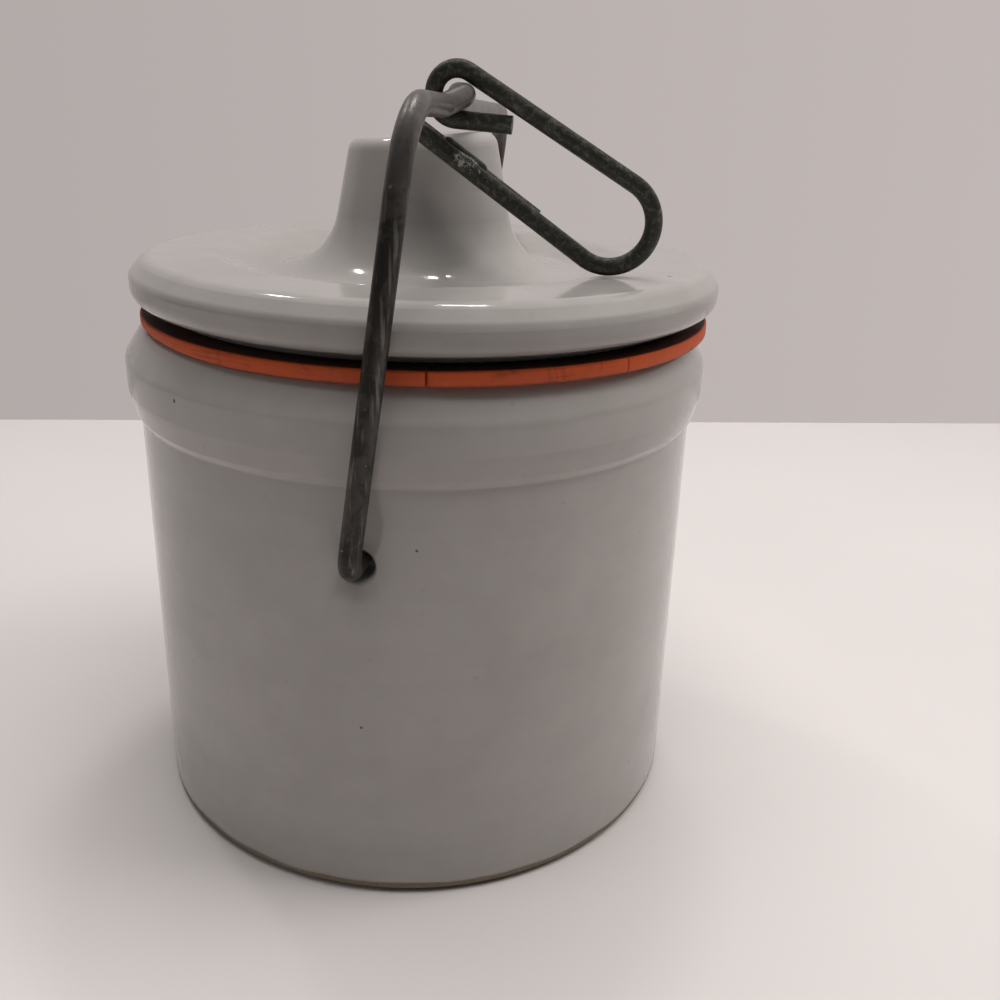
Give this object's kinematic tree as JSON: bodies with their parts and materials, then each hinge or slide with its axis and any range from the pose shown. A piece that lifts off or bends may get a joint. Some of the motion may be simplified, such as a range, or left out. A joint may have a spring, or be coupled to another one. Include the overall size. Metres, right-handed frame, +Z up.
{
  "type": "preserving crock",
  "caption": "Straight-sided glazed stoneware preserving crock with a collar, a knobbed lid on a rubber gasket, and a wire bail closure with a hooked wire lever.",
  "frame": {"origin": "centre of the crock's base, on the surface it stands on", "axes": "+Z up; the bail pivots about the Y direction; +X towards the side the lever rests on"},
  "size_m": [0.1007, 0.1104, 0.1265],
  "materials": {
    "crock_body": "glossy grey glaze, unglazed tan foot",
    "gasket": "matt orange-red rubber",
    "lid": "glossy grey glaze",
    "bail": "dull galvanised wire",
    "lever": "dark oxidised wire"
  },
  "bodies": {
    "crock": {"crock_body": "crock_body", "gasket": "gasket", "lid": "lid"},
    "bail": {"bail": "bail"},
    "lever": {"lever": "lever"}
  },
  "joints": [
    {"name": "bail_swing", "type": "hinge", "parent": "crock", "child": "bail", "pos_m": [0, 0, 0.0592], "axis": [0, -1, 0], "range_deg": [0, 49]},
    {"name": "lever_swing", "type": "hinge", "parent": "bail", "child": "lever", "pos_m": [0.00945, -0.01837, 0.12169], "axis": [0, -1, 0], "range_deg": [0, 200]}
  ]
}
